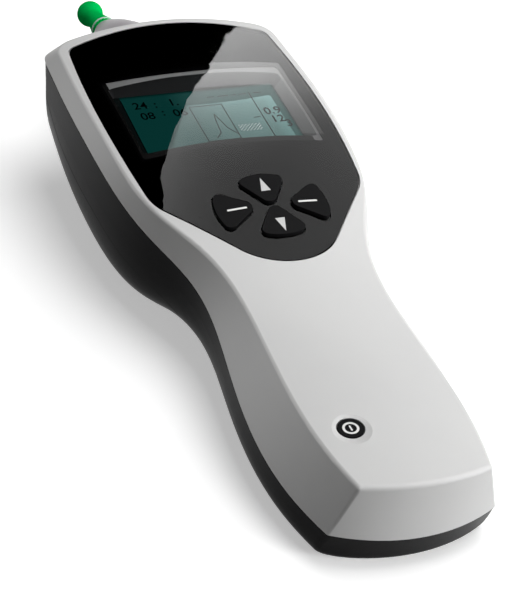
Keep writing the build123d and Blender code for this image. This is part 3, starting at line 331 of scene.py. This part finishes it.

# Display: a dark teal panel with a fine pixel grid, a darker border and a black rim on its left. Its teal is
# a glow that stands in for light, so the window's walls cast no shade on it, and painted light makes it
# brighter along its top and right edges. Its front is a faint mirror, stronger towards the right. Its slope
# follows the lens above it, so that both show the cards alike.
displayLook = {"panel": (7, 50, 47), "edge": (3, 30, 28), "rim": (9, 13, 13), "paintedLitTeal": (44, 85, 82),
               "half": 24.4, "low": 130.0, "high": 159.0, "border": 1.1, "rimAt": -22.6, "rimLean": 0.034,
               "pitch": 0.42, "lineFrom": 0.86, "lineShare": 0.3, "glow": 0.9, "matt": 0.15,
               "rough": 0.53, "spread": 0.06, "cloud": 6.0}
paintedLightPlaces = {"top": (151.0, 153.5), "side": (18.0, 21.0), "fromLeft": (-9.0, 6.0)}      # unlit to lit
panelMirror = {"share": 0.054, "rise": 0.0045, "least": 0.036, "tint": (0.6, 1.0, 0.97, 1.0), "rough": 0.03,
               "lensAcross": 147.0, "lensAlong": 400.0, "lensTop": 140.5, "shift": (-3.0, -6.0)}


def panelColour(finish, x, y):
    middle = (displayLook["low"] + displayLook["high"]) / 2
    reach = (displayLook["high"] - displayLook["low"]) / 2
    inside = (displayLook["half"] - abs(x)).least(reach - abs(y - middle))
    soft = finish.ramp(inside, 0.0, displayLook["border"])
    lines = (x / displayLook["pitch"]).remainder() > displayLook["lineFrom"]
    panel, edge = tone(*displayLook["panel"]), tone(*displayLook["edge"])
    cells = finish.blend(lines * displayLook["lineShare"], panel, edge)
    shown = finish.blend(soft, edge, cells)
    onRim = x - (y - middle) * displayLook["rimLean"] < displayLook["rimAt"]
    return soft, finish.blend(onRim, shown, tone(*displayLook["rim"]))


# The direction square to the lens above a place on the panel
def lensSlope(finish, x, y):
    leanAcross = (x + panelMirror["shift"][0]) / panelMirror["lensAcross"]
    leanAlong = (y + (panelMirror["shift"][1] - panelMirror["lensTop"])) / panelMirror["lensAlong"]
    lean = finish.add("ShaderNodeCombineXYZ", {}, {0: leanAcross, 1: leanAlong, 2: 1.0})
    turn = {"Vector": lean, "Angle": tilt}
    lean = finish.add("ShaderNodeVectorRotate", {"rotation_type": "X_AXIS"}, turn)
    return finish.add("ShaderNodeVectorMath", {"operation": "NORMALIZE"}, {0: lean})


def displayPanel(name):
    finish = Finish(name)
    place = finish.casePlace()
    x, y = finish.parts(place)[:2]
    soft, shown = panelColour(finish, x, y)
    # Painted light: the glow is made brighter along the panel's top and right edges
    byTop = finish.ramp(y, *paintedLightPlaces["top"]) * finish.ramp(x, *paintedLightPlaces["fromLeft"])
    lamps = finish.ramp(x, *paintedLightPlaces["side"]).most(byTop)
    finish.give({
        "Base Color": finish.blend(1 - soft * displayLook["matt"], shown, (0, 0, 0, 1)),
        "Emission Color": finish.blend(lamps * soft, shown, tone(*displayLook["paintedLitTeal"])),
        "Emission Strength": displayLook["glow"],
        "Roughness": finish.uneven(finish.noise(place, displayLook["cloud"]), displayLook),
        "Specular IOR Level": 0.0,
    })
    slope = lensSlope(finish, x, y)
    gloss = {"Color": panelMirror["tint"], "Roughness": panelMirror["rough"], "Normal": slope}
    mirror = finish.add("ShaderNodeBsdfGlossy", {}, gloss)
    share = soft * (x * panelMirror["rise"] + panelMirror["share"]).most(panelMirror["least"])
    finish.feed(finish.surface, finish.mixed(share, Wire(finish, finish.skin.outputs[0]), mirror))


displayPanel("display_glass")

# Soft green silicone of the ear tip
tipLook = {"colour": (0, 196, 92), "shade": (0, 182, 80), "rough": 0.2, "spread": 0.08, "grain": 0.6,
           "cloud": 2.4, "relief": 0.01}


def softSilicone(name):
    finish = Finish(name)
    place = finish.casePlace()
    clouds = finish.noise(place, tipLook["cloud"])
    finish.give({
        "Base Color": finish.blend(clouds, tone(*tipLook["colour"]), tone(*tipLook["shade"])),
        "Roughness": finish.uneven(finish.noise(place, tipLook["grain"]), tipLook),
        "Specular IOR Level": 0.0,
    })
    finish.relief(clouds, tipLook["relief"])


softSilicone("tip_green")

# Circuit board: green resist with traces and tinned pads
boardLook = {"resist": (10, 92, 50), "trace": (22, 122, 70), "pad": (196, 190, 170), "pitch": 2.6,
             "traceHalf": 0.06, "padRadius": 0.13, "rough": 0.38, "padRough": 0.28, "padMetal": 0.9,
             "relief": 0.02}


def circuitBoard(name):
    finish = Finish(name)
    spots = {"Vector": finish.casePlace(), "Scale": 1 / boardLook["pitch"]}
    maze = finish.add("ShaderNodeTexVoronoi", {"feature": "DISTANCE_TO_EDGE", "distance": "EUCLIDEAN"}, spots)
    traces = maze < boardLook["traceHalf"]
    pads = finish.add("ShaderNodeTexVoronoi", {}, spots, out="Distance") < boardLook["padRadius"]
    copper = finish.blend(traces, tone(*boardLook["resist"]), tone(*boardLook["trace"]))
    finish.give({
        "Base Color": finish.blend(pads, copper, tone(*boardLook["pad"])),
        "Metallic": pads * boardLook["padMetal"],
        "Roughness": boardLook["rough"] - pads * (boardLook["rough"] - boardLook["padRough"]),
    })
    finish.relief(traces + pads, boardLook["relief"])


circuitBoard("board_green")

# Flat cable: pale film with dark conductors along it
cableLook = {"film": (228, 228, 224), "wire": (150, 150, 150), "pitch": 1.0, "wireFrom": 0.62, "relief": 0.03,
             "rough": 0.4, "spread": 0.1, "grain": 1.5}


def ribbonCable(name):
    finish = Finish(name)
    place = finish.casePlace()
    x = finish.parts(place)[0]
    conductor = (x / cableLook["pitch"]).remainder() > cableLook["wireFrom"]
    finish.give({
        "Base Color": finish.blend(conductor, tone(*cableLook["film"]), tone(*cableLook["wire"])),
        "Roughness": finish.uneven(finish.noise(place, cableLook["grain"]), cableLook),
    })
    finish.relief(conductor, cableLook["relief"])


ribbonCable("cable_white")

# Cells: a plain printed wrap with a copper band, and bare metal ends
cellLook = {"wrap": (34, 42, 56), "band": (176, 118, 66), "metal": (196, 196, 198), "cell": 50.6,
            "start": 8.0, "bandLength": 12.0, "nub": 1.4, "endOn": 0.7, "bandMetal": 0.7, "rough": 0.32,
            "spread": 0.1, "grain": 1.2}


def cellWrap(name):
    finish = Finish(name)
    place = finish.casePlace()
    x, y = finish.parts(place)[:2]
    ends = abs(finish.facing("Normal", along)) > cellLook["endOn"]
    turnedCell = x > 0
    share = ((y - cellLook["start"]) / cellLook["cell"]).remainder() * cellLook["cell"]
    fromNub = turnedCell * share + (1 - turnedCell) * (cellLook["cell"] - share)
    band = fromNub < cellLook["bandLength"]
    metal = ends.most(fromNub < cellLook["nub"])
    colour = finish.blend(band, tone(*cellLook["wrap"]), tone(*cellLook["band"]))
    finish.give({
        "Base Color": finish.blend(metal, colour, tone(*cellLook["metal"])),
        "Metallic": metal.most(band * cellLook["bandMetal"]),
        "Roughness": finish.uneven(finish.noise(place, cellLook["grain"]), cellLook),
    })


cellWrap("cell_wrap")

# Leads: red on one side, black on the other
leadLook = {"red": (176, 22, 22), "black": (26, 26, 27), "rough": 0.4, "spread": 0.1, "grain": 0.4}


def leadJacket(name):
    finish = Finish(name)
    place = finish.casePlace()
    x = finish.parts(place)[0]
    finish.give({
        "Base Color": finish.blend(x > 0, tone(*leadLook["black"]), tone(*leadLook["red"])),
        "Roughness": finish.uneven(finish.noise(place, leadLook["grain"]), leadLook),
    })


leadJacket("lead_red")

for part in frame["record"]["subparts"]:
    mesh = nodes[part["node"]].data
    mesh.materials.clear()
    mesh.materials.append(finishes[part["material_slot"]])
print("finishes:", len(finishes))


# The outside of a node, to cast rays at
def topOf(nodeName):
    mesh = nodes[nodeName].data
    return BVHTree.FromPolygons([v.co for v in mesh.vertices], [tuple(p.vertices) for p in mesh.polygons])


def makePiece(name, bm, material):
    mesh = bpy.data.meshes.new(name)
    bm.to_mesh(mesh)
    bm.free()
    mesh.materials.append(material)
    piece = bpy.data.objects.new(name, mesh)
    scene.collection.objects.link(piece)
    return piece


def finishPiece(name, bm, finishName, body):
    piece = makePiece(name, bm, finishes[finishName])
    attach(piece, body)


# Drops a flat shape, drawn in case millimetres, on a node's top
def layOn(bm, nodeName, lift):
    surface = topOf(nodeName)
    for vert in bm.verts:
        start = caseMatrix @ Vector((vert.co.x, vert.co.y, outside))
        vert.co = surface.ray_cast(start, -square)[0] + square * lift * mm


def patch(bm, corners, cuts=0, rounding=0.0):
    face = bm.faces.new([bm.verts.new((x, y, 0)) for x, y in corners])
    if rounding:
        bmesh.ops.bevel(bm, geom=list(face.verts), offset=rounding, segments=4, profile=0.5,
                        affect="VERTICES", material=-1)
    if cuts:
        bmesh.ops.triangulate(bm, faces=bm.faces[:])
        bmesh.ops.subdivide_edges(bm, edges=bm.edges[:], cuts=cuts, use_grid_fill=True)


def bar(start, end, width):      # the four corners of a straight bar
    a, b = Vector(start), Vector(end)
    side = (b - a).normalized().orthogonal() * width / 2
    return [tuple(a - side), tuple(b - side), tuple(b + side), tuple(a + side)]


# A strip of faces between rows of two places each
def strip(bm, rows):
    pairs = [[bm.verts.new(place) for place in row] for row in rows]
    for first, second in zip(pairs, pairs[1:]):
        bm.faces.new((first[0], first[1], second[1], second[0]))


# Marks on the four keys: two arrows and two dashes
keyMarks = {"lift": 0.03, "upTip": 110.9, "upBase": 106.0, "downTip": 91.0, "downBase": 95.8, "halfBase": 1.4,
            "dashIn": 7.5, "dashOut": 13.2, "dashAlong": 101.0, "dashWidth": 0.62, "cuts": 3,
            "arrowRounding": 0.1, "dashRounding": 0.28}


def arrow(base, tip):
    half = math.copysign(keyMarks["halfBase"], tip - base)
    return [(-half, base), (half, base), (0, tip)]


def dash(start, end):
    return bar((start, keyMarks["dashAlong"]), (end, keyMarks["dashAlong"]), keyMarks["dashWidth"])


arrows = {
    "up": arrow(keyMarks["upBase"], keyMarks["upTip"]),
    "down": arrow(keyMarks["downBase"], keyMarks["downTip"]),
}
dashes = {
    "left": dash(-keyMarks["dashOut"], -keyMarks["dashIn"]),
    "right": dash(keyMarks["dashIn"], keyMarks["dashOut"]),
}
kinds = (
    (arrows, keyMarks["arrowRounding"], "mark_pale"),
    (dashes, keyMarks["dashRounding"], "mark_white"),
)
for shapes, rounding, finishName in kinds:
    for key, corners in shapes.items():
        bm = bmesh.new()
        patch(bm, corners, keyMarks["cuts"], rounding)
        layOn(bm, "key_" + key, keyMarks["lift"])
        finishPiece("keyMark." + key, bm, finishName, "key_" + key)
print("key marks")

# The mark on the power key: a ring round an upright bar
powerMark = {"x": -11.7, "along": 19.3, "outer": 2.15, "inner": 1.5, "barHalf": 0.95, "barWidth": 0.45,
             "rounding": 0.2, "segments": 48, "lift": 0.03}
bm = bmesh.new()
centre = Matrix.Translation((powerMark["x"], powerMark["along"], 0))
for radius in (powerMark["outer"], powerMark["inner"]):
    bmesh.ops.create_circle(bm, segments=powerMark["segments"], radius=radius, matrix=centre)
bmesh.ops.bridge_loops(bm, edges=bm.edges[:])
low, high = powerMark["along"] - powerMark["barHalf"], powerMark["along"] + powerMark["barHalf"]
upright = bar((powerMark["x"], low), (powerMark["x"], high), powerMark["barWidth"])
patch(bm, upright, rounding=powerMark["rounding"])
layOn(bm, "power_key", powerMark["lift"])
bmesh.ops.recalc_face_normals(bm, faces=bm.faces[:])
finishPiece("powerMark", bm, "mark_white", "power_key")
print("power mark")

# What the display shows is flat on its panel: a plain graph with rules beside it, dots and numbers
panelLevel = 14.22
onPanel = caseMatrix @ Matrix.Translation((0, 0, panelLevel))
graphLook = {"left": -3.7, "right": 6.1, "low": 136.2, "high": 151.8, "rule": 0.3, "titleAlong": 155.4,
             "title": [(3.2, 5.4), (6.2, 9.6), (10.4, 12.0), (12.8, 15.2), (17.4, 19.6)],
             "curve": [(-0.8, 137.2), (1.2, 139.4), (1.8, 145.2), (2.3, 147.8), (3.1, 144.8), (3.9, 141.4),
                       (6.0, 138.0)]}
highLeft = (graphLook["left"], graphLook["high"])
highRight = (graphLook["right"], graphLook["high"])
lowLeft = (graphLook["left"], graphLook["low"])
lowRight = (graphLook["right"], graphLook["low"])
rules = [
    (highLeft, highRight),
    (lowLeft, lowRight),
    (highLeft, lowLeft),
    (highRight, lowRight),
    ((16.1, 156.0), (16.1, 135.4)),      # before the numbers at the right
    ((13.2, 144.6), (15.2, 144.6)),
    ((-22.2, 157.6), (-23.0, 132.0)),      # beside the rim
]
rules += zip(graphLook["curve"], graphLook["curve"][1:])
for start, end in graphLook["title"]:      # short rules in place of words
    rules.append(((start, graphLook["titleAlong"]), (end, graphLook["titleAlong"])))
bm = bmesh.new()
for start, end in rules:
    patch(bm, bar(start, end, graphLook["rule"]))
bmesh.ops.transform(bm, matrix=onPanel, verts=bm.verts[:])
finishPiece("displayGraph", bm, "display_ink", "case")

# A block of pale dots beside the graph
dotsLook = {"x": 7.4, "along": 139.2, "pitch": 0.52, "size": 0.26, "columns": 13, "rows": 6}
bm = bmesh.new()
for row in range(dotsLook["rows"]):
    for column in range(dotsLook["columns"]):
        if (row + column) % 2:
            x = dotsLook["x"] + column * dotsLook["pitch"]
            y = dotsLook["along"] + row * dotsLook["pitch"]
            patch(bm, bar((x, y), (x + dotsLook["size"], y), dotsLook["size"]))
bmesh.ops.transform(bm, matrix=onPanel, verts=bm.verts[:])
finishPiece("displayDots", bm, "mark_white", "case")

# The numbers, each with the place of its lower left corner
digits = {"size": 4.3, "bold": 0.05}
numbers = [
    ("24", -19.6, 153.2), ("08", -19.0, 148.4), (":", -13.4, 153.2), (":", -12.4, 149.4),
    ("1.", -9.0, 153.4), ("06", -9.2, 148.6), ("0.9", 17.2, 145.4), ("12", 17.8, 141.6), ("3", 21.4, 139.2),
]
bm = bmesh.new()
for body, x, y in numbers:
    letters = bpy.data.curves.new("digits", "FONT")
    letters.body = body
    letters.size = digits["size"]
    letters.offset = digits["bold"]
    carrier = bpy.data.objects.new("digits", letters)
    flat = bpy.data.meshes.new_from_object(carrier)
    flat.transform(onPanel @ Matrix.Translation((x, y, 0)))
    bm.from_mesh(flat)
    bpy.data.objects.remove(carrier)
    bpy.data.curves.remove(letters)
    bpy.data.meshes.remove(flat)
finishPiece("displayNumbers", bm, "display_ink", "case")
print("display marks")

# The fine groove along each side of the rear case is painted shade: a black strip laid on from the side, not
# cut into the case
grooveLook = {"half": 0.16, "lift": 0.02, "steps": 6}
groovePath = [(178, 5.0), (168, 2.2), (160, 0.2), (152, -0.8), (142, -1.5), (132, -1.9),
              (123, -2.9), (116, -4.0), (109, -4.8), (102, -5.4), (97, -6.3), (92, -7.6)]


# A smooth run of points through the given ones
def smoothed(points, steps):
    knots = [Vector(p) for p in (points[0], *points, points[-1])]
    run = []
    for a, b, c, d in zip(knots, knots[1:], knots[2:], knots[3:]):
        for i in range(steps):
            t = i / steps
            bend = (2 * a - 5 * b + 4 * c - d) * t**2 + (3 * b - a - 3 * c + d) * t**3
            run.append(0.5 * (2 * b + (c - a) * t + bend))
    return run + [knots[-1]]


# Both edges of the groove at each point of its path, found on the case from one side
def grooveRows(surface, run, turnSide):
    rows = []
    for before, here, after in zip(run[:1] + run, run, run[1:] + run[-1:]):
        heading = (after - before).normalized()
        row = []
        for offset in (-grooveLook["half"], grooveLook["half"]):
            start = Vector((outside * turnSide, here.x - heading.y * offset, here.y + heading.x * offset))
            hit = surface.ray_cast(caseMatrix @ start, -across * turnSide)[0]
            row.append(hit + across * turnSide * grooveLook["lift"] * mm)
        rows.append(row)
    return rows


bm = bmesh.new()
surface = topOf("rear_case")
run = smoothed(groovePath, grooveLook["steps"])
for turnSide in (-1, 1):
    strip(bm, grooveRows(surface, run, turnSide))
bmesh.ops.recalc_face_normals(bm, faces=bm.faces[:])
finishPiece("paintedGrooveShade", bm, "groove_painted_shade", "case")

# Grip ridges on the battery cover
ridgeLook = {"first": 24.0, "pitch": 2.4, "count": 5, "half": 7.0, "radius": 0.6, "rise": 0.3,
             "segments": 24, "rounding": 0.2}
bm = bmesh.new()
surface = topOf("battery_cover")
for i in range(ridgeLook["count"]):
    below = Vector((0, ridgeLook["first"] + i * ridgeLook["pitch"], -outside))
    foot = caseMatrix.inverted() @ surface.ray_cast(caseMatrix @ below, square)[0]
    middle = Matrix.Translation(foot + Vector((0, 0, ridgeLook["radius"] - ridgeLook["rise"])))
    size = {"radius1": ridgeLook["radius"], "radius2": ridgeLook["radius"], "depth": 2 * ridgeLook["half"]}
    lying = middle @ Matrix.Rotation(math.pi / 2, 4, "Y")
    bmesh.ops.create_cone(bm, cap_ends=True, segments=ridgeLook["segments"], matrix=lying, **size)
# The edges round the two ends, which unlike the long ones don't run across the cover
rims = [e for e in bm.edges if abs(e.verts[0].co.x - e.verts[1].co.x) < ridgeLook["half"]]
bmesh.ops.bevel(bm, geom=rims, offset=ridgeLook["rounding"], segments=2, profile=0.5, affect="EDGES",
                material=-1)
bmesh.ops.transform(bm, matrix=caseMatrix, verts=bm.verts[:])
finishPiece("coverRidges", bm, "case_dark", "battery_cover")
print("groove and ridges")

# Camera at the photograph's angle, in case millimetres
view = {"aim": (0, 90.25, 0), "right": (0.912, -0.372, 0.173), "back": (-0.392, -0.666, 0.634),
        "offset": (-4.389, -3.809, 764.3), "lens": 170.5, "clip": 0.05}
back = (turned @ Vector(view["back"])).normalized()
up = back.cross(turned @ Vector(view["right"])).normalized()
right = up.cross(back)
sideways, upwards, away = view["offset"]
spot = caseMatrix @ Vector(view["aim"]) + (right * sideways + up * upwards + back * away) * mm
camera = bpy.data.objects.new("camera", bpy.data.cameras.new("camera"))
scene.collection.objects.link(camera)
camera.matrix_world = Matrix.Translation(spot) @ Matrix((right, up, back)).transposed().to_4x4()
camera.data.lens = view["lens"]
camera.data.clip_start = view["clip"]
scene.camera = camera


# 1 for what the camera sees straight, in mirrors and through glass, and 0 for light thrown on matt surfaces
def straightRays(wiring):
    kinds = ("Is Camera Ray", "Is Glossy Ray", "Is Transmission Ray")
    seen, mirrored, through = (wiring.add("ShaderNodeLightPath", out=kind) for kind in kinds)
    return seen.most(mirrored).most(through)


# The floor is brighter to the camera, to mirrors and to glass than to the light that it throws back on the
# case, and turns white away from it
floorLook = {"thrown": 0.22, "seen": 0.68, "lift": 0.42, "half": 3.0, "fadeFrom": 0.35, "fadeTo": 0.9}
finish = Finish("stageFloor", plain=True)
straight = straightRays(finish)
albedo = straight * floorLook["seen"] + floorLook["thrown"]
shade = finish.add("ShaderNodeCombineColor", {}, {0: albedo, 1: albedo, 2: albedo})
matt = finish.add("ShaderNodeBsdfDiffuse", {}, {"Color": shade})
glow = finish.add("ShaderNodeEmission", {}, {"Color": (1, 1, 1, 1), "Strength": straight * floorLook["lift"]})
near = finish.add("ShaderNodeAddShader", {}, {0: matt, 1: glow})
far = finish.add("ShaderNodeEmission", {}, {"Color": (1, 1, 1, 1), "Strength": straight})
place = finish.add("ShaderNodeTexCoord", out="Object")
distance = finish.add("ShaderNodeVectorMath", {"operation": "LENGTH"}, {0: place}, out="Value")
share = finish.ramp(distance, floorLook["fadeFrom"], floorLook["fadeTo"], kind="SMOOTHSTEP")
finish.feed(finish.surface, finish.mixed(share, near, far))
bm = bmesh.new()
bmesh.ops.create_grid(bm, x_segments=1, y_segments=1, size=floorLook["half"])
makePiece("floor", bm, finish.material)

# Two cards for the gloss share one edge, which the fascia shows as its slanting line. The bright one is
# strongest beside the upper part of that edge.
cards = {"centre": (368, 1011, 768), "edge": (-0.625, -0.291, 0.724), "side": (0.694, -0.633, 0.344),
         "bow": [(-900, -60), (-453, -24), (-320, -8), (-50, 20), (130, 18), (370, 3), (476, -30),
                 (900, -120)],
         "reach": 1600, "bright": 3.3, "dim": 0.83, "fade": 280.0, "strongTo": -350.0, "weakFrom": 130.0,
         "weak": 0.3}
centre, edge, side = (Vector(cards[k]) for k in ("centre", "edge", "side"))


def brightShine(finish):
    place = finish.casePlace()
    fade = finish.ramp(finish.dot(place, side) - centre.dot(side), 0.0, cards["fade"], 1.0, 0.0)
    alongEdge = finish.dot(place, edge) - centre.dot(edge)
    weaker = finish.ramp(alongEdge, cards["strongTo"], cards["weakFrom"], 1.0, cards["weak"])
    return fade * fade * weaker * cards["bright"] + cards["dim"]


for name, direction in (("brightCard", 1), ("darkCard", -1)):
    rows = []
    for forward, off in cards["bow"]:
        rim = centre + edge * forward - side * off
        rows.append([rim, rim + side * direction * cards["reach"]])
    bm = bmesh.new()
    strip(bm, rows)
    bmesh.ops.transform(bm, matrix=caseMatrix, verts=bm.verts[:])
    finish = Finish("stage." + name, plain=True)
    strength = brightShine(finish) if direction > 0 else 0.0
    shine = finish.add("ShaderNodeEmission", {}, {"Color": (1, 1, 1, 1), "Strength": strength})
    finish.feed(finish.surface, shine)
    card = makePiece(name, bm, finish.material)
    for rays in ("camera", "diffuse", "shadow", "transmission"):
        setattr(card, "visible_" + rays, False)

# Lamps: soft discs that point at the middle of the case
lamps = {
    "keyLamp": {"from": (330, 250, 1180), "size": 1.1, "power": 12.5},
    "frontLamp": {"from": (900, -700, 330), "size": 0.7, "power": 14.0},
    "rimLamp": {"from": (-1000, 500, 180), "size": 0.9, "power": 0.7},
}
target = caseMatrix @ Vector((0, 90, 5))
for name, lamp in lamps.items():
    light = bpy.data.lights.new(name, "AREA")
    light.shape = "DISK"
    light.size = lamp["size"]
    light.energy = lamp["power"]
    holder = bpy.data.objects.new(name, light)
    scene.collection.objects.link(holder)
    place = caseMatrix @ Vector(lamp["from"])
    aimed = (place - target).to_track_quat("Z", "Y").to_matrix().to_4x4()
    holder.matrix_world = Matrix.Translation(place) @ aimed

# The world lights matt surfaces softly, and is white behind the object, in mirrors and in glass
worldLook = {"ambient": 0.08}
world = bpy.data.worlds.new("studio")
scene.world = world
world.use_nodes = True
wiring = Wiring(world.node_tree)
background = world.node_tree.nodes["Background"]
strength = straightRays(wiring) * (1 - worldLook["ambient"]) + worldLook["ambient"]
wiring.feed(background.inputs["Strength"], strength)
wiring.feed(background.inputs["Color"], (1, 1, 1, 1))
scene.view_settings.view_transform = "Standard"
print("stage")
